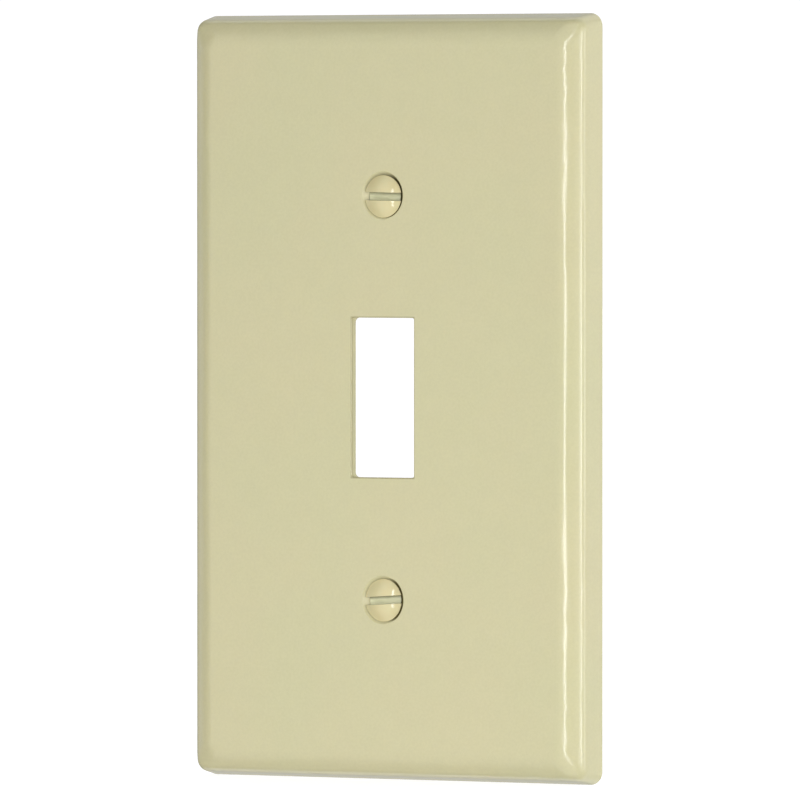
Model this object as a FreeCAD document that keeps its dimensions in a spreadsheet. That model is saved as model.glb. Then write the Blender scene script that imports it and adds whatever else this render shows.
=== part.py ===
import FreeCAD, Part
import math
import os
import Sketcher

# Single-gang toggle wall plate with its two captive 6-32 oval-head screws and their washers.
# Frame: X to the right seen from the front, Z up, the front face looks along -Y.
# Origin: centre of the plate's back plane, the plane that lies on the wall (Y = 0).

V = FreeCAD.Vector

# ---------------------------------------------------------------- dimensions
# alias, value (mm; degrees where the alias ends in _deg), note
DIMENSIONS = [
    # cover plate
    ("plate_width", 69.85, "overall, X"),
    ("plate_height", 114.3, "overall, Z"),
    ("plate_depth", 5.59, "back plane to face"),
    ("plan_radius", 2.0, "plan corner radius at the back plane"),
    ("brow_radius", 1.7, "plan corner radius where side wall and bevel meet"),
    ("face_radius", 2.9, "plan corner radius where bevel and face meet"),
    ("draft_deg", 11.0, "draft of the side walls"),
    ("bevel_deg", 30.0, "slope of the bevel against the face"),
    ("bevel_inset", 3.46, "where the bevel meets the face plane, in from the outline"),
    ("edge_blend", 2.0, "radius between side wall and bevel"),
    ("face_blend", 5.0, "radius between bevel and face"),
    ("rim_wall", 1.9, "width of the back rim"),
    ("face_wall", 1.6, "thickness of the face wall"),
    ("cavity_radius", 2.0, "plan corner radius of the hollow back"),
    ("cavity_fillet", 1.1, "fillet round the floor of the hollow back"),
    # toggle opening
    ("toggle_width", 10.9, "toggle opening, X"),
    ("toggle_height", 23.81, "toggle opening, Z"),
    ("toggle_lip", 0.62, "depth of the sharp-cornered lip in front"),
    ("toggle_lip_radius", 0.2, "corner radius in the lip"),
    ("toggle_radius", 0.75, "corner radius behind the lip"),
    ("toggle_break", 0.2, "rounding of the opening's front edge"),
    ("relief_margin", 2.2, "back relief round the opening, each side"),
    ("relief_depth", 0.42, "depth of the back relief"),
    ("relief_extra_radius", 0.6, "the relief's corner radius over the opening's"),
    # screw seats and bosses
    ("screw_spacing", 60.325, "between the two screws, Z"),
    ("sink_diameter", 7.2, "countersink at the face"),
    ("sink_half_deg", 41.0, "half angle of the 82 degree countersink"),
    ("clear_diameter", 4.0, "clearance hole"),
    ("sink_break", 0.12, "rounding of the countersink's front edge"),
    ("seat_lead", 0.3, "the seat's cut starts this far in front of the face"),
    ("seat_overrun", 0.2, "the seat's cut ends this far behind the boss"),
    ("boss_diameter", 9.5, "screw boss"),
    ("boss_end", 3.6, "back end of the boss, behind the face"),
    ("boss_overlap", 0.4, "run of the bosses into the face wall"),
    # ribs and rails
    ("rib_width", 1.2, "thickness of ribs and rails"),
    ("rib_end", 2.9, "back edge of the ribs, behind the face"),
    ("rib_start_share", 0.44, "inner end of a rib from the screw axis, in boss diameters"),
    ("rib_inset", 1.75, "outer end of ribs and rails, in from the outline"),
    ("rib_overlap", 0.3, "run of ribs and rails into the face wall"),
    ("rail_end", 2.4, "back edge of the low rails, behind the face"),
    ("rail_x", 24.0, "centre of the low rails, X"),
    # screws, 6-32 x 1/2 oval head
    ("head_diameter", 6.35, "head"),
    ("head_land", 0.08, "cylindrical edge of the head"),
    ("dome_rise", 0.98, "height of the oval above the head's edge"),
    ("slot_width", 1.22, "driver slot width"),
    ("slot_depth", 1.52, "driver slot depth from the top of the oval"),
    ("slot_overrun", 1.0, "length of the slot's cut over the head diameter"),
    ("major_diameter", 3.505, "thread major diameter"),
    ("thread_depth", 0.43, "thread depth"),
    ("thread_pitch", 0.79375, "32 threads per inch"),
    ("thread_half_deg", 30.0, "half angle of the thread groove"),
    ("thread_overrun", 0.045, "run of the groove's section outside the major diameter"),
    ("thread_stop", 0.75, "end of the groove behind the head's cone, in pitches"),
    ("root_flat", 0.198, "flat at the thread root"),
    ("screw_length", 12.7, "head's edge to tip"),
    ("tip_chamfer", 0.42, "chamfer of the tip"),
    ("upper_gap", 0.22, "axial gap under the upper head at rest"),
    ("upper_hang", 0.17, "how low the upper screw hangs in its clearance hole"),
    ("upper_turn_deg", 1.3, "turn of the upper slot"),
    ("lower_gap", 0.10, "axial gap under the lower head at rest"),
    ("lower_hang", 0.05, "how low the lower screw hangs in its clearance hole"),
    ("lower_turn_deg", -3.8, "turn of the lower slot"),
    # retaining washers
    ("washer_diameter", 9.4, "outside"),
    ("washer_bore", 3.565, "bore, runs on the thread's crests"),
    ("washer_thickness", 0.5, "thickness"),
    ("washer_rest", 3.45, "front of the washer behind the back plane at rest"),
    ("washer_edge", 0.06, "broken edge of the washer"),
]

# tolerances of this script, mm and mm3
PLANE_TOLERANCE = 1e-4
LEAST_CHANGE = 1e-3


class Size:
    """A value and the spreadsheet expression that gives it; arithmetic carries both along."""

    def __init__(self, value, text=None):
        self.value = float(value)
        self.text = text or repr(value)

    def __add__(self, other):
        return joined(self, "+", other, float.__add__)

    def __sub__(self, other):
        return joined(self, "-", other, float.__sub__)

    def __rsub__(self, other):
        return joined(other, "-", self, float.__sub__)

    def __mul__(self, other):
        return joined(self, "*", other, float.__mul__)

    def __rmul__(self, other):
        return joined(other, "*", self, float.__mul__)

    def __truediv__(self, other):
        return joined(self, "/", other, float.__truediv__)

    def __neg__(self):
        return 0 - self


def as_size(number):
    return number if isinstance(number, Size) else Size(number)


def joined(left, symbol, right, compute):
    left, right = as_size(left), as_size(right)
    text = "(%s %s %s)" % (left.text, symbol, right.text)
    return Size(compute(left.value, right.value), text)


def tangent(degrees):
    return Size(math.tan(math.radians(degrees.value)), "tan(%s * 1 deg)" % degrees.text)


class Dimensions:
    """Holds every row of the table as a Size, under its alias."""


doc = FreeCAD.newDocument("toggle_wall_plate")
sheet = doc.addObject("Spreadsheet::Sheet", "Dims")
dim = Dimensions()
for row, (alias, value, note) in enumerate(DIMENSIONS, start=1):
    sheet.set("A%d" % row, alias)
    sheet.set("B%d" % row, repr(value))
    sheet.setAlias("B%d" % row, alias)
    sheet.set("C%d" % row, note)
    setattr(dim, alias, Size(value, "Dims." + alias))
doc.recompute()

# relations that several pieces share
screw_z = dim.screw_spacing / 2
sink_slope = tangent(dim.sink_half_deg)


# ---------------------------------------------------------------- sketch helpers
def new_body(name):
    body = doc.addObject("PartDesign::Body", name)
    body.Label = name
    return body


def datum(body, role):
    """One of the body's own origin planes or axes."""
    return [f for f in body.Origin.OriginFeatures if f.Role == role][0]


def new_sketch(body, name, role, offset=None):
    """A sketch on an origin plane. XZ_Plane: x is X, y is Z, and the offset goes to the
    front (-Y). YZ_Plane: x is Y, y is Z."""
    sketch = body.newObject("Sketcher::SketchObject", name)
    sketch.AttachmentSupport = [(datum(body, role), "")]
    sketch.MapMode = "FlatFace"
    if offset:
        lift = V(0, 0, offset.value)
        sketch.AttachmentOffset = FreeCAD.Placement(lift, FreeCAD.Rotation())
        sketch.setExpression("AttachmentOffset.Base.z", offset.text)
    return sketch


def constrain(sketch, size, kind, *where):
    """Add a dimensional constraint driven by the size's expression."""
    index = sketch.addConstraint(Sketcher.Constraint(kind, *where, size.value))
    sketch.setExpression("Constraints[%d]" % index, size.text)


def pin_point(sketch, geometry, position, x, y):
    """Fix one point of a sketch by its distances from the sketch's origin."""
    constrain(sketch, as_size(x), "DistanceX", -1, 1, geometry, position)
    constrain(sketch, as_size(y), "DistanceY", -1, 1, geometry, position)


def arc_between(start, end, radius):
    """The short anticlockwise arc from start to end, its centre left of the chord."""
    run, rise = end[0] - start[0], end[1] - start[1]
    half = math.hypot(run, rise) / 2
    offset = math.sqrt(max(radius * radius - half * half, 0.0))
    centre_x = (start[0] + end[0]) / 2 - rise / (2 * half) * offset
    centre_y = (start[1] + end[1]) / 2 + run / (2 * half) * offset
    start_angle = math.atan2(start[1] - centre_y, start[0] - centre_x)
    end_angle = math.atan2(end[1] - centre_y, end[0] - centre_x)
    if end_angle < start_angle:
        end_angle += 2 * math.pi
    whole = Part.Circle(V(centre_x, centre_y, 0), V(0, 0, 1), radius)
    return Part.ArcOfCircle(whole, start_angle, end_angle)


def outline(sketch, points):
    """A closed outline through points (x, y) or (x, y, radius); a radius makes the edge
    that leaves the point an anticlockwise arc."""
    places = [(as_size(p[0]).value, as_size(p[1]).value) for p in points]
    edges = []
    for i, point in enumerate(points):
        start, end = places[i], places[(i + 1) % len(points)]
        if len(point) > 2:
            edge = arc_between(start, end, point[2].value)
        else:
            edge = Part.LineSegment(V(*start, 0), V(*end, 0))
        edges.append(sketch.addGeometry(edge, False))
    for i, edge in enumerate(edges):
        following = edges[(i + 1) % len(edges)]
        sketch.addConstraint(Sketcher.Constraint("Coincident", edge, 2, following, 1))
    for edge, point in zip(edges, points):
        pin_point(sketch, edge, 1, point[0], point[1])
        if len(point) > 2:
            constrain(sketch, point[2], "Radius", edge)


def rectangle(sketch, centre_x, centre_y, width, height, radius=None):
    """A rectangle, its corners rounded if a radius is given."""
    left, right = centre_x - width / 2, centre_x + width / 2
    bottom, top = centre_y - height / 2, centre_y + height / 2
    if radius is None:
        outline(sketch, [(left, bottom), (right, bottom), (right, top), (left, top)])
        return
    outline(sketch, [
        (left + radius, bottom), (right - radius, bottom, radius),
        (right, bottom + radius), (right, top - radius, radius),
        (right - radius, top), (left + radius, top, radius),
        (left, top - radius), (left, bottom + radius, radius),
    ])


def circle(sketch, x, y, diameter):
    place = V(as_size(x).value, as_size(y).value, 0)
    whole = Part.Circle(place, V(0, 0, 1), diameter.value / 2)
    index = sketch.addGeometry(whole, False)
    pin_point(sketch, index, 3, x, y)
    constrain(sketch, diameter, "Diameter", index)


# ---------------------------------------------------------------- feature helpers
ORIGIN = Size(0)


def volume(body):
    doc.recompute()
    return body.Shape.Volume if not body.Shape.isNull() else 0.0


def insist(body, name, before, adds=False):
    """Raise an error unless the new feature added or removed material as it should."""
    after = volume(body)
    gain = after - before if adds else before - after
    if not gain > LEAST_CHANGE:
        raise RuntimeError("%s did nothing: %.3f to %.3f mm3" % (name, before, after))


def bind(feature, name, size):
    setattr(feature, name, size.value)
    feature.setExpression(name, size.text)


def extrude(body, kind, name, sketch, length=None, backward=False, taper=None):
    """A Pad, or a Pocket, of the sketch; a pocket without a length goes right through."""
    before = volume(body)
    feature = body.newObject("PartDesign::" + kind, name)
    feature.Profile = sketch
    if length is None:
        feature.Type = "ThroughAll"
    else:
        bind(feature, "Length", length)
    if taper is not None:
        bind(feature, "TaperAngle", taper)
    feature.Reversed = backward
    sketch.Visibility = False
    insist(body, name, before, adds=kind == "Pad")
    return feature


def blend(body, name, base, edges, radius, adds=False):
    """A fillet on the named edges of the base feature."""
    before = volume(body)
    feature = body.newObject("PartDesign::Fillet", name)
    feature.Base = (base, edges)
    bind(feature, "Radius", radius)
    insist(body, name, before, adds)
    return feature


def revolve(body, name, sketch):
    """A full turn of the sketch about the body's Y axis."""
    doc.recompute()
    feature = body.newObject("PartDesign::Revolution", name)
    feature.Profile = sketch
    feature.ReferenceAxis = (datum(body, "Y_Axis"), [""])
    feature.Angle = 360.0
    sketch.Visibility = False
    doc.recompute()


def ring(body, y, half_width=math.inf, z_from=0.0, z_to=math.inf):
    """Names of the edges that lie in the plane at y, within half_width of the middle line,
    and whose centres are z_from to z_to above or below the origin."""
    names = []
    for i, edge in enumerate(body.Shape.Edges, start=1):
        box = edge.BoundBox
        in_plane = abs(box.YMin - y) < PLANE_TOLERANCE and abs(box.YMax - y) < PLANE_TOLERANCE
        in_width = box.XMax < half_width and box.XMin > -half_width
        if in_plane and in_width and z_from <= abs(box.Center.z) < z_to:
            names.append("Edge%d" % i)
    return names


# ---------------------------------------------------------------- wall plate
def add_slab(plate):
    """The outside: a drafted side wall and a sloping bevel, with blended edges."""
    # The two slopes cross at brow_inset from the outline and brow_drop behind the face.
    bevel_slope, draft_slope = tangent(dim.bevel_deg), tangent(dim.draft_deg)
    brow_inset = ((dim.plate_depth - dim.bevel_inset * bevel_slope) * draft_slope
                  / (1 - bevel_slope * draft_slope))
    brow_drop = (dim.bevel_inset - brow_inset) * bevel_slope
    brow_depth = dim.plate_depth - brow_drop

    sections = []
    for name, depth, inset, radius in (
        ("back_outline", None, ORIGIN, dim.plan_radius),
        ("brow_outline", brow_depth, brow_inset, dim.brow_radius),
        ("face_outline", dim.plate_depth, dim.bevel_inset, dim.face_radius),
    ):
        sketch = new_sketch(plate, name, "XZ_Plane", depth)
        width, height = dim.plate_width - 2 * inset, dim.plate_height - 2 * inset
        rectangle(sketch, ORIGIN, ORIGIN, width, height, radius)
        sketch.Visibility = False
        sections.append(sketch)
    doc.recompute()
    slab = plate.newObject("PartDesign::AdditiveLoft", "slab")
    slab.Profile = sections[0]
    slab.Sections = sections[1:]
    slab.Ruled = True
    doc.recompute()

    face_edges = ring(plate, -dim.plate_depth.value)
    face_blend = blend(plate, "face_blend", slab, face_edges, dim.face_blend)
    brow_edges = ring(plate, -brow_depth.value)
    blend(plate, "brow_blend", face_blend, brow_edges, dim.edge_blend)


def hollow_back(plate):
    """The hollow back, drafted like the outside, with a fillet round its floor."""
    depth = dim.plate_depth - dim.face_wall
    sketch = new_sketch(plate, "cavity_outline", "XZ_Plane")
    rectangle(sketch, ORIGIN, ORIGIN, dim.plate_width - 2 * dim.rim_wall,
              dim.plate_height - 2 * dim.rim_wall, dim.cavity_radius)
    cavity = extrude(plate, "Pocket", "hollow_back", sketch, depth,
                     backward=True, taper=-dim.draft_deg)
    floor_edges = ring(plate, -depth.value)
    blend(plate, "floor_fillet", cavity, floor_edges, dim.cavity_fillet, adds=True)


def pad_on_wall(plate, name, sketch, back_end, overlap):
    """Pad from back_end behind the face forward into the face wall."""
    extrude(plate, "Pad", name, sketch, back_end - dim.face_wall + overlap)


def add_bosses(plate):
    """Screw bosses, standing back from the face wall, short of the switch's strap."""
    sketch = new_sketch(plate, "boss_circles", "XZ_Plane", dim.plate_depth - dim.boss_end)
    for side in (1, -1):
        circle(sketch, ORIGIN, side * screw_z, dim.boss_diameter)
    pad_on_wall(plate, "screw_bosses", sketch, dim.boss_end, dim.boss_overlap)


def add_ribs(plate):
    """Ribs that tie each boss to the rim on three sides."""
    sketch = new_sketch(plate, "rib_lines", "XZ_Plane", dim.plate_depth - dim.rib_end)
    start_x = dim.boss_diameter * dim.rib_start_share
    end_x = dim.plate_width / 2 - dim.rib_inset
    start_z = screw_z + start_x
    end_z = dim.plate_height / 2 - dim.rib_inset
    for side in (1, -1):
        rectangle(sketch, ORIGIN, side * (start_z + end_z) / 2, dim.rib_width, end_z - start_z)
        for hand in (1, -1):
            rectangle(sketch, hand * (start_x + end_x) / 2, side * screw_z,
                      end_x - start_x, dim.rib_width)
    pad_on_wall(plate, "boss_ribs", sketch, dim.rib_end, dim.rib_overlap)


def add_rails(plate):
    """Two low rails along the sides, clear of the strap."""
    sketch = new_sketch(plate, "rail_lines", "XZ_Plane", dim.plate_depth - dim.rail_end)
    for hand in (1, -1):
        rectangle(sketch, hand * dim.rail_x, ORIGIN, dim.rib_width,
                  dim.plate_height - 2 * dim.rib_inset)
    pad_on_wall(plate, "side_rails", sketch, dim.rail_end, dim.rib_overlap)


def cut_toggle_opening(plate):
    """A sharp-cornered lip in front, rounder corners behind it, a shallow relief at the back."""
    width, height = dim.toggle_width, dim.toggle_height
    sketch = new_sketch(plate, "toggle_outline", "XZ_Plane")
    rectangle(sketch, ORIGIN, ORIGIN, width, height, dim.toggle_radius)
    extrude(plate, "Pocket", "toggle_opening", sketch, backward=True)

    sketch = new_sketch(plate, "toggle_lip_outline", "XZ_Plane", dim.plate_depth)
    rectangle(sketch, ORIGIN, ORIGIN, width, height, dim.toggle_lip_radius)
    extrude(plate, "Pocket", "toggle_lip", sketch, dim.toggle_lip)

    sketch = new_sketch(plate, "relief_outline", "XZ_Plane")
    rectangle(sketch, ORIGIN, ORIGIN, width + 2 * dim.relief_margin,
              height + 2 * dim.relief_margin, dim.toggle_radius + dim.relief_extra_radius)
    extrude(plate, "Pocket", "toggle_relief", sketch,
            dim.plate_depth - dim.face_wall + dim.relief_depth, backward=True)


def cut_seats(plate):
    """Countersink and clearance hole, turned for the upper screw and mirrored for the lower."""
    clear_radius = dim.clear_diameter / 2
    y_front = -dim.plate_depth - dim.seat_lead
    y_neck = (dim.sink_diameter - dim.clear_diameter) / 2 / sink_slope - dim.plate_depth
    y_back = dim.boss_end - dim.plate_depth + dim.seat_overrun
    sketch = new_sketch(plate, "seat_profile", "YZ_Plane")
    outline(sketch, [
        (y_front, screw_z),
        (y_front, screw_z + dim.sink_diameter / 2 + dim.seat_lead * sink_slope),
        (y_neck, screw_z + clear_radius),
        (y_back, screw_z + clear_radius),
        (y_back, screw_z),
    ])
    # construction line: the axis of the turn
    front, back = V(y_front.value, screw_z.value, 0), V(y_back.value, screw_z.value, 0)
    axis = sketch.addGeometry(Part.LineSegment(front, back), True)
    pin_point(sketch, axis, 1, y_front, screw_z)
    pin_point(sketch, axis, 2, y_back, screw_z)
    doc.recompute()

    before = volume(plate)
    upper = plate.newObject("PartDesign::Groove", "upper_seat")
    upper.Profile = sketch
    upper.ReferenceAxis = (sketch, ["Axis0"])
    upper.Angle = 360.0
    insist(plate, "upper_seat", before)

    before = volume(plate)
    lower = plate.newObject("PartDesign::Mirrored", "lower_seat")
    lower.Originals = [upper]
    lower.MirrorPlane = (datum(plate, "XY_Plane"), [""])
    plate.Tip = lower
    insist(plate, "lower_seat", before)
    return lower


def round_front_edges(plate, base):
    """Very slightly round the front edges of the opening and of the countersinks."""
    face_y = -dim.plate_depth.value
    toggle_margin = 0.1  # search margin round the opening
    seat_margin = 4.0  # search margin above and below a screw axis
    edges = ring(plate, face_y, half_width=dim.toggle_width.value / 2 + toggle_margin,
                 z_to=dim.toggle_height.value / 2 + toggle_margin)
    toggle_edge = blend(plate, "toggle_edge", base, edges, dim.toggle_break)
    edges = ring(plate, face_y, half_width=dim.sink_diameter.value,
                 z_from=screw_z.value - seat_margin, z_to=screw_z.value + seat_margin)
    blend(plate, "seat_edges", toggle_edge, edges, dim.sink_break)


def make_plate():
    plate = new_body("wall_plate")
    add_slab(plate)
    hollow_back(plate)
    add_bosses(plate)
    add_ribs(plate)
    add_rails(plate)
    cut_toggle_opening(plate)
    seats = cut_seats(plate)
    round_front_edges(plate, seats)
    return plate


# ---------------------------------------------------------------- screws and washers
def place(body, side, hang, turn=None):
    """Move a piece built round the Y axis to the upper (1) or lower (-1) screw hole."""
    z = side * screw_z - hang
    rotation = FreeCAD.Rotation(V(0, 1, 0), turn.value) if turn else FreeCAD.Rotation()
    body.Placement = FreeCAD.Placement(V(0, 0, z.value), rotation)
    body.setExpression("Placement.Base.z", z.text)
    if turn:
        body.setExpression("Placement.Rotation.Angle", "%s * 1 deg" % turn.text)


def cut_thread(body, name, y_tip, y_shank):
    """A 60 degree groove, run from beyond the tip to just under the head."""
    pitch, overrun = dim.thread_pitch, dim.thread_overrun
    root_radius = dim.major_diameter / 2 - dim.thread_depth
    outer_radius = dim.major_diameter / 2 + overrun
    half_root = dim.root_flat / 2
    half_outer = half_root + (dim.thread_depth + overrun) * tangent(dim.thread_half_deg)
    y_start = y_tip + pitch
    sketch = new_sketch(body, name + "_groove", "YZ_Plane")
    outline(sketch, [
        (y_start - half_root, root_radius),
        (y_start + half_root, root_radius),
        (y_start + half_outer, outer_radius),
        (y_start - half_outer, outer_radius),
    ])
    before = volume(body)
    thread = body.newObject("PartDesign::SubtractiveHelix", name + "_thread")
    thread.Profile = sketch
    thread.ReferenceAxis = (datum(body, "Y_Axis"), [""])
    thread.Mode = "pitch-height-angle"
    bind(thread, "Pitch", pitch)
    bind(thread, "Height", y_start - y_shank - pitch * dim.thread_stop)
    thread.Reversed = True
    thread.LeftHanded = False
    sketch.Visibility = False
    insist(body, thread.Name, before)


def make_screw(name, side, gap, hang, turn):
    body = new_body(name)
    head_radius, major_radius = dim.head_diameter / 2, dim.major_diameter / 2
    # stations along Y, from the dome's top at the front to the tip at the back
    sink_depth = (dim.sink_diameter - dim.head_diameter) / 2 / sink_slope
    y_edge = sink_depth - dim.head_land - gap - dim.plate_depth
    y_top = y_edge - dim.dome_rise
    y_cone = y_edge + dim.head_land
    y_shank = y_cone + (dim.head_diameter - dim.major_diameter) / 2 / sink_slope
    y_tip = y_edge + dim.screw_length
    dome_radius = ((head_radius * head_radius + dim.dome_rise * dim.dome_rise)
                   / (2 * dim.dome_rise))
    sketch = new_sketch(body, name + "_profile", "YZ_Plane")
    outline(sketch, [
        (y_tip, ORIGIN),
        (y_tip, major_radius - dim.tip_chamfer),
        (y_tip - dim.tip_chamfer, major_radius),
        (y_shank, major_radius),
        (y_cone, head_radius),
        (y_edge, head_radius, dome_radius),
        (y_top, ORIGIN),
    ])
    revolve(body, name + "_turned", sketch)
    cut_thread(body, name, y_tip, y_shank)
    sketch = new_sketch(body, name + "_slot_line", "XZ_Plane", -y_top)
    rectangle(sketch, ORIGIN, ORIGIN, dim.head_diameter + dim.slot_overrun, dim.slot_width)
    extrude(body, "Pocket", name + "_slot", sketch, dim.slot_depth)
    place(body, side, hang, turn)
    return body


def make_washer(name, side, hang):
    body = new_body(name)
    y_front = dim.washer_rest
    y_back = y_front + dim.washer_thickness
    bore_radius, outer_radius = dim.washer_bore / 2, dim.washer_diameter / 2
    edge = dim.washer_edge
    sketch = new_sketch(body, name + "_section", "YZ_Plane")
    outline(sketch, [
        (y_front, bore_radius), (y_back, bore_radius),
        (y_back, outer_radius - edge), (y_back - edge, outer_radius),
        (y_front + edge, outer_radius), (y_front, outer_radius - edge),
    ])
    revolve(body, name + "_turned", sketch)
    place(body, side, hang)
    return body


# ---------------------------------------------------------------- build, check and write
bodies = [
    make_plate(),
    make_screw("upper_screw", 1, dim.upper_gap, dim.upper_hang, dim.upper_turn_deg),
    make_screw("lower_screw", -1, dim.lower_gap, dim.lower_hang, dim.lower_turn_deg),
    make_washer("upper_retaining_washer", 1, dim.upper_hang),
    make_washer("lower_retaining_washer", -1, dim.lower_hang),
]
doc.recompute()

for obj in doc.Objects:
    if "Invalid" in obj.State or "Error" in obj.State:
        raise RuntimeError("%s failed: %s" % (obj.Name, obj.State))
for body in bodies:
    shape = body.Shape
    if shape.isNull() or not shape.isValid():
        raise RuntimeError("%s has no valid shape" % body.Label)
    if len(shape.Solids) != 1:
        raise RuntimeError("%s is %d solids" % (body.Label, len(shape.Solids)))

os.makedirs("parts", exist_ok=True)
for body in bodies:
    body.Shape.exportStep("parts/%s.step" % body.Label)
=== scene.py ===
"""An ivory wall plate with a central opening, two enamelled slotted screws and fibre washers.

The plate stands upright in the XZ plane: its front faces -Y, its hollow back +Y, and +X is
to the right seen from the front. The screws sit above and below the opening.
"""
import bpy, math
from functools import cached_property
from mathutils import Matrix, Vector


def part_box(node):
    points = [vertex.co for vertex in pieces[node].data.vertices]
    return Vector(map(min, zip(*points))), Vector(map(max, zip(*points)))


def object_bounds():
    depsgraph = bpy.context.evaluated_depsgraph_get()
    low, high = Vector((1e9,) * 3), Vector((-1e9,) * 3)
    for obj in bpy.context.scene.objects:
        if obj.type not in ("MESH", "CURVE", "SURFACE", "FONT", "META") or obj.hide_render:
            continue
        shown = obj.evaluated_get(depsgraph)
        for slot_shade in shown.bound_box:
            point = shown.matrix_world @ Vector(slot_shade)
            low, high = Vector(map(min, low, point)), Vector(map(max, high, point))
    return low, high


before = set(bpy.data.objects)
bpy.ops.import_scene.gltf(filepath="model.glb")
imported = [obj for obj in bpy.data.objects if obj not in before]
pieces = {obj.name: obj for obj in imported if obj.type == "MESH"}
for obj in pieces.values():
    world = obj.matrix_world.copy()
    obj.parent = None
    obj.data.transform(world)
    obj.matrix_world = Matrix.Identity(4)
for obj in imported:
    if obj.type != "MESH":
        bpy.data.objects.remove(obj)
cad_lo, cad_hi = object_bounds()
MM = 0.001

# Places on the plate, in mm
SCREW_HEIGHT = 30.1625      # each screw's axis above or below the middle
PLATE_FRONT = 5.59          # reference plane of the front, towards -Y
EDGE_RADIUS = 0.10          # shaded rounding of every plate and screw edge


# ------------------------------------------------------------------ node helpers
class Nodes:
    """Short names for the shader nodes of one tree. Sizes and depths are in mm."""

    def __init__(self, tree):
        self.tree = tree
        tree.nodes.clear()

    def add(self, kind):
        return self.tree.nodes.new("ShaderNode" + kind)

    @cached_property
    def coords(self):
        return self.add("TexCoord").outputs

    def link(self, source, socket):
        self.tree.links.new(source, socket)

    def put(self, socket, value):
        """Link a socket into this one, or set its value; an RGB triple gets alpha 1."""
        if isinstance(value, bpy.types.NodeSocket):
            self.link(value, socket)
            return
        if isinstance(value, (tuple, list)) and len(value) == 3 and socket.type == "RGBA":
            value = (*value, 1.0)
        socket.default_value = value

    def math(self, operation, a, b=0.0, c=0.0, clamp=False):
        node = self.add("Math")
        node.operation = operation
        node.use_clamp = clamp
        for i, value in enumerate((a, b, c)):
            self.put(node.inputs[i], value)
        return node.outputs[0]

    def times(self, product, *factors):
        for factor in factors:
            product = self.math("MULTIPLY", product, factor)
        return product

    def plus(self, a, b, clamp=False):
        return self.math("ADD", a, b, clamp=clamp)

    def minus(self, a, b):
        return self.math("SUBTRACT", a, b)

    def length(self, a, b):
        return self.math("SQRT", self.plus(self.times(a, a), self.times(b, b)))

    def in_mm(self, metres):
        return self.times(metres, 1000.0)

    def xyz(self, vector):
        node = self.add("SeparateXYZ")
        self.put(node.inputs[0], vector)
        return tuple(node.outputs)

    def noise(self, size, detail=2.0, rough=0.5, stretch=(1, 1, 1), offset=(0, 0, 0)):
        """Noise whose features are about size across."""
        mapping = self.add("Mapping")
        self.link(self.coords["Object"], mapping.inputs["Vector"])
        mapping.inputs["Scale"].default_value = stretch
        mapping.inputs["Location"].default_value = offset
        node = self.add("TexNoise")
        node.inputs["Scale"].default_value = 1.0 / (size * MM)
        node.inputs["Detail"].default_value = detail
        node.inputs["Roughness"].default_value = rough
        self.link(mapping.outputs[0], node.inputs["Vector"])
        return node.outputs["Fac"]

    def ramp(self, value, start, end, low=0.0, high=1.0, smooth=True):
        """Go from low at start to high at end; start may be the larger."""
        node = self.add("MapRange")
        node.interpolation_type = "SMOOTHSTEP" if smooth else "LINEAR"
        node.clamp = True
        self.put(node.inputs["Value"], value)
        limits = {"From Min": start, "From Max": end, "To Min": low, "To Max": high}
        for name, limit in limits.items():
            self.put(node.inputs[name], limit)
        return node.outputs[0]

    def mix(self, factor, a, b):
        """Blend two colours."""
        node = self.add("Mix")
        node.data_type = "RGBA"
        node.clamp_factor = True
        for i, value in ((0, factor), (6, a), (7, b)):
            self.put(node.inputs[i], value)
        return node.outputs[2]

    def mix_value(self, factor, a, b):
        node = self.add("Mix")
        node.data_type = "FLOAT"
        for i, value in ((0, factor), (2, a), (3, b)):
            self.put(node.inputs[i], value)
        return node.outputs[0]

    def bump(self, height, depth, normal=None):
        """Relief from a height of 0..1 over depth."""
        node = self.add("Bump")
        node.inputs["Strength"].default_value = 1.0
        node.inputs["Distance"].default_value = depth * MM
        self.put(node.inputs["Height"], height)
        if normal is not None:
            self.link(normal, node.inputs["Normal"])
        return node.outputs[0]

    def bevel(self, radius):
        node = self.add("Bevel")
        node.samples = 6
        node.inputs["Radius"].default_value = radius * MM
        return node.outputs[0]

    def mix_shader(self, factor, a, b, target):
        """Blend two shader nodes into the target socket."""
        node = self.add("MixShader")
        self.link(factor, node.inputs[0])
        self.link(a.outputs[0], node.inputs[1])
        self.link(b.outputs[0], node.inputs[2])
        self.link(node.outputs[0], target)


class Material(Nodes):
    """A procedural material around one Principled shader."""

    def __init__(self, name):
        self.data = bpy.data.materials.new(name)
        self.data.use_nodes = True
        super().__init__(self.data.node_tree)
        self.out = self.add("OutputMaterial")
        self.bsdf = self.add("BsdfPrincipled")
        self.link(self.bsdf.outputs[0], self.out.inputs[0])

    def set(self, **inputs):
        for name, value in inputs.items():
            self.put(self.bsdf.inputs[name.replace("_", " ")], value)


def srgb(*channels):
    """Linear colour from sRGB channels of 0..255."""
    shares = [c / 255.0 for c in channels]
    return tuple(s / 12.92 if s <= 0.04045 else ((s + 0.055) / 1.055) ** 2.4 for s in shares)


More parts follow.
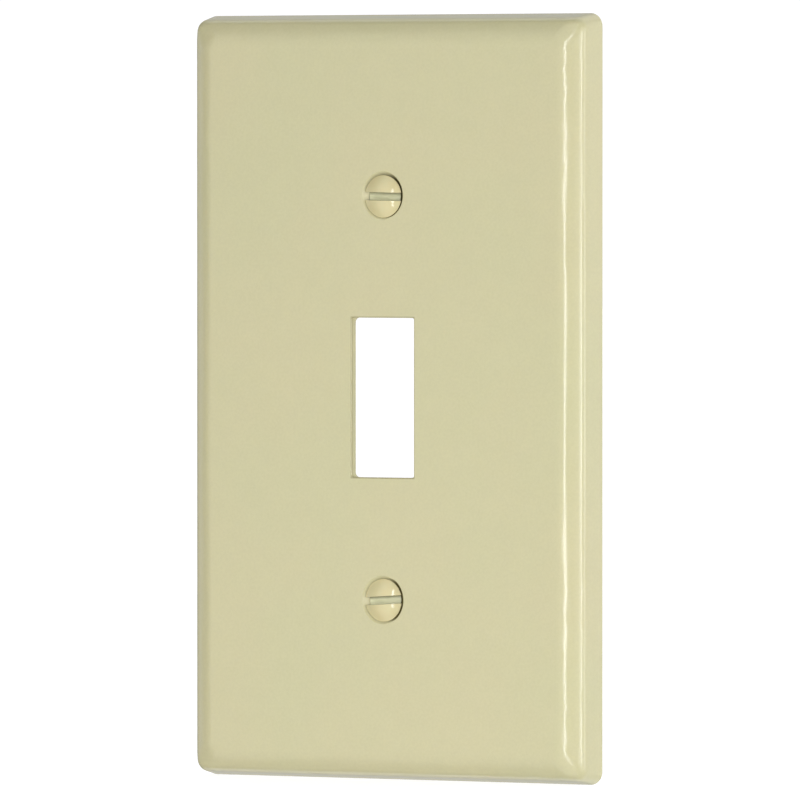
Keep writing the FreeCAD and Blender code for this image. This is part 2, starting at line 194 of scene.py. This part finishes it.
# ------------------------------------------------------------------ ivory moulded plastic
def ivory_pigment(m):
    """Broad, faint flow of the pigment, then finer mottling."""
    base = srgb(209, 204, 163.5)
    warm = srgb(211, 204, 163.5)
    cool = srgb(207, 204, 162.5)
    flow = m.ramp(m.noise(size=24, detail=3, rough=0.55), start=0.35, end=0.65)
    colour = m.mix(0.5, m.mix(flow, warm, cool), base)
    mottle = m.noise(size=2.6, detail=4, rough=0.6, offset=(0.3, 0.1, 0.7))
    mottle = m.ramp(mottle, start=0.3, end=0.7, low=0.992, high=1.008)
    speck = m.noise(size=0.42, detail=2, rough=0.6, offset=(0.6, 0.2, 0.9))
    speck = m.ramp(speck, start=0.30, end=0.70, low=0.984, high=1.016)
    shade = m.add("HueSaturation")
    m.put(shade.inputs["Color"], colour)
    m.put(shade.inputs["Value"], m.times(mottle, speck))
    return shade.outputs[0]


def countersinks(m, z, x_mm, y_mm, abs_x, abs_z, behind_front):
    """Masks of the two countersinks, and of the painted shade in the gap under the heads."""
    outward = m.minus(abs_z, SCREW_HEIGHT)
    radius = m.length(abs_x, outward)
    # wider on the right of the lower screw
    spread = m.times(m.ramp(x_mm, start=0.4, end=3.0), m.ramp(z, start=1 * MM, end=-1 * MM))
    rim = dict(widen=-0.07, deepen=0.12)        # mm the spread moves the cone's limits
    cone = m.times(
        m.ramp(m.math("MULTIPLY_ADD", spread, rim["widen"], radius), start=3.64, end=3.58),
        m.ramp(m.math("MULTIPLY_ADD", spread, rim["deepen"], behind_front),
               start=0.03, end=0.10))

    # painted shade in the gap: most on the right, and some under the upper screw, which hangs
    # low
    up = m.times(outward, m.math("SIGN", z))
    under_upper = m.times(m.ramp(up, start=-1.2, end=-3.0, low=0.0, high=0.5),
                          m.ramp(z, start=-1 * MM, end=1 * MM))
    right = m.ramp(x_mm, start=0.6, end=2.6, low=0.20, high=0.95)
    amount = m.plus(right, under_upper, clamp=True)
    # none by the left end of the slot
    slot_end = m.times(m.ramp(m.math("ABSOLUTE", up), start=1.0, end=0.6),
                       m.ramp(x_mm, start=-2.0, end=-2.6))
    # it starts nearer the front on the right
    right_reach = m.ramp(x_mm, start=0.0, end=2.0, low=0.0, high=0.12)
    spread_reach = 0.24
    reach = m.math("MULTIPLY_ADD", spread, spread_reach, m.plus(behind_front, right_reach))
    gap_shade = m.times(cone,
                   m.ramp(reach, start=0.12, end=0.36),
                   m.ramp(y_mm, start=-3.0, end=-3.6),
                   m.times(amount, m.minus(1.0, slot_end)))
    return cone, gap_shade


def ivory_plastic():
    m = Material("ivory_plastic")
    x, y, z = m.xyz(m.coords["Object"])
    colour = ivory_pigment(m)
    abs_x = m.in_mm(m.math("ABSOLUTE", x))
    abs_z = m.in_mm(m.math("ABSOLUTE", z))
    x_mm, y_mm = m.in_mm(x), m.in_mm(y)
    behind_front = m.plus(y_mm, PLATE_FRONT)

    # the hollow back keeps the mould's matte finish
    hollow = m.times(m.ramp(abs_x, start=33.35, end=33.25),
                     m.ramp(abs_z, start=55.55, end=55.45),
                     m.ramp(y_mm, start=-4.30, end=-4.20))
    smudge = m.noise(size=9, detail=5, rough=0.65, offset=(1.7, 0.2, 0.4))
    smudge = m.ramp(smudge, start=0.40, end=0.75)
    # roughness of each finish
    clean, smudged, matte, dry, gap_shade_rough = 0.165, 0.20, 0.42, 0.40, 0.70
    rough = m.mix_value(hollow, m.mix_value(smudge, clean, smudged), matte)

    cone, gap_shade = countersinks(m, z, x_mm, y_mm, abs_x, abs_z, behind_front)
    rough = m.mix_value(cone, rough, dry)
    # painted shade: darkens the gaps under the screw heads, with a rougher, duller gloss there
    colour = m.mix(gap_shade, colour, srgb(74, 65, 18))
    rough = m.mix_value(gap_shade, rough, gap_shade_rough)

    # a faint line of painted shade on the rounded front edge of the opening
    lip = m.times(m.ramp(abs_x, start=5.68, end=5.60),
                  m.ramp(abs_z, start=12.14, end=12.06),
                  m.ramp(behind_front, start=0.40, end=0.25))
    shade_and_grime_strength = 0.42
    colour = m.mix(m.times(lip, shade_and_grime_strength), colour, srgb(132, 122, 78))

    # orange peel and fine grain all over, a coarser sparkle in the hollow
    peel = m.noise(size=2.2, offset=(0.1, 0.9, 0.2))
    normal = m.bump(peel, depth=0.0035, normal=m.bevel(EDGE_RADIUS))
    normal = m.bump(m.noise(size=0.30, rough=0.6), depth=0.0004, normal=normal)
    sparkle = m.noise(size=0.12, detail=3, rough=0.7)
    normal = m.bump(m.times(sparkle, hollow), depth=0.006, normal=normal)
    clean_specular, gap_shade_specular = 0.5, -0.4       # level, and its change under the painted gap shade
    m.set(Base_Color=colour, Roughness=rough, IOR=1.5, Normal=normal,
          Specular_IOR_Level=m.math("MULTIPLY_ADD", gap_shade, gap_shade_specular, clean_specular),
          Subsurface_Weight=0.10, Subsurface_Scale=1 * MM,
          Subsurface_Radius=(1.0, 0.85, 0.40))
    return m.data


# ------------------------------------------------------------------ screws
def slot_coat(m, enamel, depth, radius, x, z, turn, shade_start):
    """The slot: a thin, greyer coat on its floor, and painted shade in its corners."""
    floor = dict(start=1.62, end=1.56)      # depth where the slot's floor ends
    floor_mask = m.times(m.ramp(depth, start=1.42, end=1.50),
                         m.ramp(radius, start=3.1, end=2.9),
                         m.ramp(depth, **floor))
    streak = m.noise(size=0.5, detail=4, rough=0.6, stretch=(0.3, 1, 1.6))
    streak = m.ramp(streak, start=0.35, end=0.7)
    thin = m.mix(streak, srgb(217, 219, 186), srgb(202, 204, 166))
    enamel = m.mix(floor_mask, enamel, thin)

    sine, cosine = math.sin(math.radians(turn)), math.cos(math.radians(turn))
    across = m.in_mm(m.plus(m.times(x, sine), m.times(z, cosine)))
    along = m.in_mm(m.minus(m.times(x, cosine), m.times(z, sine)))
    # painted shade along the slot's walls and at its left end
    slot_shade = m.math("MAXIMUM",
                    m.ramp(across, start=shade_start, end=0.60, smooth=False),
                    m.ramp(across, start=-0.52, end=-0.60, low=0.0, high=0.25))
    slot_shade = m.math("MAXIMUM", slot_shade, m.ramp(along, start=-2.62, end=-2.80))
    sunk = m.times(m.ramp(depth, start=1.10, end=1.40),
                   m.times(m.ramp(radius, start=3.15, end=3.0), m.ramp(depth, **floor)))
    slot_shade_strength = 0.80
    return m.mix(m.times(slot_shade, sunk, slot_shade_strength), enamel, srgb(120, 116, 78))


def painted_screw(name, piece, turn, shade_start):
    """Ivory enamel on the head, zinc below.

    turn is the slot's angle in degrees; painted shade darkens its upper side from
    shade_start mm above the slot's middle line.
    """
    m = Material(name)
    lo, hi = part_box(piece)
    x, y, z = m.xyz(m.coords["Object"])
    z = m.minus(z, (lo.z + hi.z) / 2)
    radius = m.in_mm(m.length(x, z))
    depth = m.in_mm(m.minus(y, lo.y))       # behind the front of the oval head

    tint = m.ramp(m.noise(size=1.6, detail=3, rough=0.6), start=0.35, end=0.65)
    enamel = m.mix(tint, srgb(219, 210, 163), srgb(221, 209, 161))
    enamel = slot_coat(m, enamel, depth, radius, x, z, turn, shade_start)

    zinc = m.mix(m.noise(size=0.6, detail=4, rough=0.6),
                 srgb(176, 180, 176), srgb(188, 184, 164))
    grime = m.noise(size=0.9, detail=4, rough=0.65, offset=(2, 3, 1))
    grime = m.ramp(grime, start=0.5, end=0.8)
    shade_and_grime_strength = 0.35
    zinc = m.mix(m.times(grime, shade_and_grime_strength), zinc, srgb(120, 116, 100))

    # the enamel ends in a ragged line
    raggedness = 0.35
    ragged = m.times(m.noise(size=0.7, detail=3, rough=0.6), raggedness)
    shank = m.ramp(m.plus(depth, ragged), start=2.9, end=3.1)
    enamel_rough = m.mix_value(m.noise(size=0.8, detail=3, rough=0.6), a=0.09, b=0.13)
    zinc_rough = m.mix_value(m.noise(size=0.35, detail=3, rough=0.6), a=0.26, b=0.42)
    normal = m.bump(m.noise(size=0.8), depth=0.004, normal=m.bevel(EDGE_RADIUS))
    normal = m.bump(m.noise(size=0.10, rough=0.6), depth=0.0008, normal=normal)
    m.set(Base_Color=m.mix(shank, enamel, zinc),
          Roughness=m.mix_value(shank, enamel_rough, zinc_rough),
          Metallic=shank, IOR=1.52, Normal=normal)
    return m.data


# ------------------------------------------------------------------ washers
def fibre():
    m = Material("fibre")
    strands = m.noise(size=0.5, detail=5, rough=0.65, stretch=(1, 3, 1))
    colour = m.mix(m.ramp(strands, start=0.3, end=0.7), srgb(150, 116, 84), srgb(128, 94, 66))
    flecks = m.noise(size=0.16, detail=3, rough=0.7, offset=(3, 1, 2))
    flecks = m.ramp(flecks, start=0.6, end=0.75)
    fleck_strength = 0.6
    colour = m.mix(m.times(flecks, fleck_strength), colour, srgb(172, 140, 106))
    normal = m.bump(strands, depth=0.05)
    normal = m.bump(m.noise(size=0.12, detail=3, rough=0.7), depth=0.012, normal=normal)
    m.set(Base_Color=colour, Roughness=0.82, Normal=normal)
    return m.data


# ------------------------------------------------------------------ dressing the CAD pieces
def smooth_group(degrees):
    """Smooth every face, and keep edges sharper than the angle crisp."""
    group = bpy.data.node_groups.new("smooth_%d" % degrees, "GeometryNodeTree")
    for direction in ("INPUT", "OUTPUT"):
        group.interface.new_socket("Geometry", in_out=direction,
                                   socket_type="NodeSocketGeometry")
    add, link = group.nodes.new, group.links.new
    source, result = add("NodeGroupInput"), add("NodeGroupOutput")
    faces = add("GeometryNodeSetShadeSmooth")
    faces.domain = "FACE"
    edges = add("GeometryNodeSetShadeSmooth")
    edges.domain = "EDGE"
    angle = add("GeometryNodeInputMeshEdgeAngle")
    soft = add("FunctionNodeCompare")
    soft.data_type = "FLOAT"
    soft.operation = "LESS_EQUAL"
    soft.inputs["B"].default_value = math.radians(degrees)
    link(source.outputs[0], faces.inputs["Geometry"])
    link(faces.outputs[0], edges.inputs["Geometry"])
    link(angle.outputs["Unsigned Angle"], soft.inputs["A"])
    link(soft.outputs[0], edges.inputs["Shade Smooth"])
    link(edges.outputs[0], result.inputs[0])
    return group


smoothing = smooth_group(degrees=24)


def dress(name, material):
    """Give a piece its material, weld its seams and even out its normals."""
    piece = pieces[name]
    if not piece.data.materials:
        piece.data.materials.append(material)
    for slot in piece.material_slots:
        slot.material = material
    weld = piece.modifiers.new("weld", "WELD")
    weld.merge_threshold = 0.002 * MM
    piece.modifiers.new("smooth", "NODES").node_group = smoothing
    normals = piece.modifiers.new("normals", "WEIGHTED_NORMAL")
    normals.mode = "FACE_AREA"
    normals.weight = 50
    normals.keep_sharp = True


dress("wall_plate", ivory_plastic())
dress("upper_screw", painted_screw("enamel_upper", "upper_screw", turn=1.3, shade_start=0.08))
dress("lower_screw", painted_screw("enamel_lower", "lower_screw", turn=-3.8, shade_start=0.15))
washer_fibre = fibre()
dress("upper_retaining_washer", washer_fibre)
dress("lower_retaining_washer", washer_fibre)


# ------------------------------------------------------------------ stage
def floor_white():
    """A glowing white ground that only the camera sees."""
    m = Material("floor_white")
    m.set(Base_Color=(0.40, 0.40, 0.40), Roughness=0.9, Specular_IOR_Level=0.0,
          Emission_Strength=0.85, Emission_Color=(1, 1, 1))
    camera_ray = m.add("LightPath").outputs["Is Camera Ray"]
    m.mix_shader(camera_ray, m.add("BsdfTransparent"), m.bsdf, m.out.inputs[0])
    return m.data


bpy.ops.mesh.primitive_plane_add(size=12, location=(0, 0, cad_lo.z))
floor = bpy.context.object
floor.name = "floor"
floor.data.materials.append(floor_white())


def direction(azimuth, elevation):
    """Unit vector from the object; azimuth in degrees from the front, + to the right."""
    a, e = math.radians(azimuth), math.radians(elevation)
    return Vector((math.sin(a) * math.cos(e), -math.cos(a) * math.cos(e), math.sin(e)))


def place(name, data, location, facing):
    """Add a camera or light that looks along facing."""
    item = bpy.data.objects.new(name, data)
    bpy.context.scene.collection.objects.link(item)
    item.location = location
    item.rotation_mode = "QUATERNION"
    item.rotation_quaternion = facing.to_track_quat("-Z", "Y")
    return item


# ------------------------------------------------------------------ camera
CAMERA_TARGET = Vector((3.065, -5.57, -0.315)) * MM
CAMERA_DISTANCE = 1.9607
to_camera = direction(azimuth=32.05, elevation=0.9743)

lens = bpy.data.cameras.new("camera")
lens.sensor_width = 36.0
lens.lens = 592.47
lens.clip_start = 0.05
lens.clip_end = 50
bpy.context.scene.camera = place(
    "camera", lens, CAMERA_TARGET + to_camera * CAMERA_DISTANCE, -to_camera)


# ------------------------------------------------------------------ lights
def soft_box(name, location, facing, width, height, radiance):
    """A rectangular light; sizes in metres, radiance 1 is a white of full brightness."""
    light = bpy.data.lights.new(name, "AREA")
    light.shape = "RECTANGLE"
    light.size = width
    light.size_y = height
    light.energy = radiance * math.pi * width * height
    item = place(name, light, location, facing)
    item.visible_camera = False
    return item


def strip(name, x, y, bottom, top, width, radiance):
    """An upright light that faces the object's middle line."""
    soft_box(name, (x, y, (bottom + top) / 2), Vector((-x, -y, 0)),
             width, top - bottom, radiance)


strip("key_strip", x=0.0615, y=-0.40, bottom=-0.205, top=0.200, width=0.042, radiance=11.4)

BOX_OFFSET, BOX_DISTANCE = 0.0315, 0.60     # sideways shift, and distance before it
box_turn = math.radians(64.3)
strip("right_box", x=BOX_OFFSET + BOX_DISTANCE * math.sin(box_turn),
      y=-BOX_DISTANCE * math.cos(box_turn), bottom=-0.155, top=0.150, width=0.070, radiance=12.0)

FILL_DISTANCE = 0.25
to_fill = direction(azimuth=0, elevation=-30.0)
fill = soft_box("low_fill", to_fill * FILL_DISTANCE, -to_fill,
                width=0.09, height=0.09, radiance=3.0)
fill.visible_glossy = False     # it only fills, and leaves no highlight

# ------------------------------------------------------------------ world
# Radiance around the object: (degrees from the front, + to the right; radiance)
FRONT_PANEL = [(-50, 0), (-43, 0.815), (-32, 0.815), (-4, 0.815), (2, 0)]
LEVEL_STRIPS = [
    (-104, 0), (-98, 0.85), (-84, 0.85), (-76, 0), (0, 0), (5, 1.6), (10, 1.5), (16, 0.13),
    (26, 0.13), (36, 1.4), (46, 2.6), (62, 2.6), (66, 0.2), (80, 0.2), (85, 4.4), (97, 4.4),
    (103, 0),
]
SIDE_REFLECTOR = [(102, 0), (108, 0.4), (116, 1.38), (135, 1.38), (143, 0)]
ROOM_BEHIND = [(-178, 0.62), (-140, 0.58), (-116, 0.12), (-104, 0), (112, 0), (140, 0.20),
               (178, 0.62)]
TOP_BEHIND, BOTTOM_BEHIND = 1.50, 1.60
AMBIENT = 0.03
CURVE_SCALE = 8.0       # keeps the radiances within a colour ramp's 0..1


def background(w, strength):
    node = w.add("Background")
    w.put(node.inputs["Color"], (1, 1, 1))
    w.put(node.inputs["Strength"], strength)
    return node


def studio():
    """Panels of light around the object; the camera itself sees plain white."""
    world = bpy.data.worlds.new("studio")
    bpy.context.scene.world = world
    world.use_nodes = True
    w = Nodes(world.node_tree)
    out = w.add("OutputWorld")
    x, y, z = w.xyz(w.coords["Generated"])
    turn = w.math("ARCTAN2", x, w.times(y, -1.0))
    share = w.plus(w.times(turn, 1 / (2 * math.pi)), 0.5)   # of a full turn, front at 0.5

    def around(stops):
        node = w.add("ValToRGB")
        elements = node.color_ramp.elements
        node.color_ramp.interpolation = "LINEAR"
        for k, (degrees, radiance) in enumerate(stops):
            position = (degrees + 180) / 360
            element = elements[k] if k < 2 else elements.new(position)
            element.position = position
            element.color = (*[radiance / CURVE_SCALE] * 3, 1)
        w.put(node.inputs[0], share)
        return w.times(node.outputs[0], CURVE_SCALE)

    steepness = w.math("ABSOLUTE", z)
    behind = w.ramp(y, start=0.0, end=0.3)
    front_height = w.times(w.ramp(z, start=0.86, end=0.72), w.ramp(z, start=-0.97, end=-0.87))
    parts = [
        w.times(around(FRONT_PANEL), front_height),
        w.times(around(LEVEL_STRIPS), w.ramp(steepness, start=0.30, end=0.18)),
        w.times(around(SIDE_REFLECTOR), w.ramp(steepness, start=0.80, end=0.50)),
        w.times(around(ROOM_BEHIND), w.ramp(steepness, start=0.80, end=0.65)),
        w.times(behind, w.ramp(z, start=0.6, end=0.8), TOP_BEHIND),
        w.times(behind, w.ramp(z, start=-0.6, end=-0.8), BOTTOM_BEHIND),
    ]
    total = AMBIENT
    for part in parts:
        total = w.plus(part, total)
    camera_ray = w.add("LightPath").outputs["Is Camera Ray"]
    w.mix_shader(camera_ray, background(w, total), background(w, strength=1.05), out.inputs[0])


studio()

view = bpy.context.scene.view_settings
view.view_transform = "Standard"
view.look = "None"
view.exposure = 0.0
view.gamma = 1.0
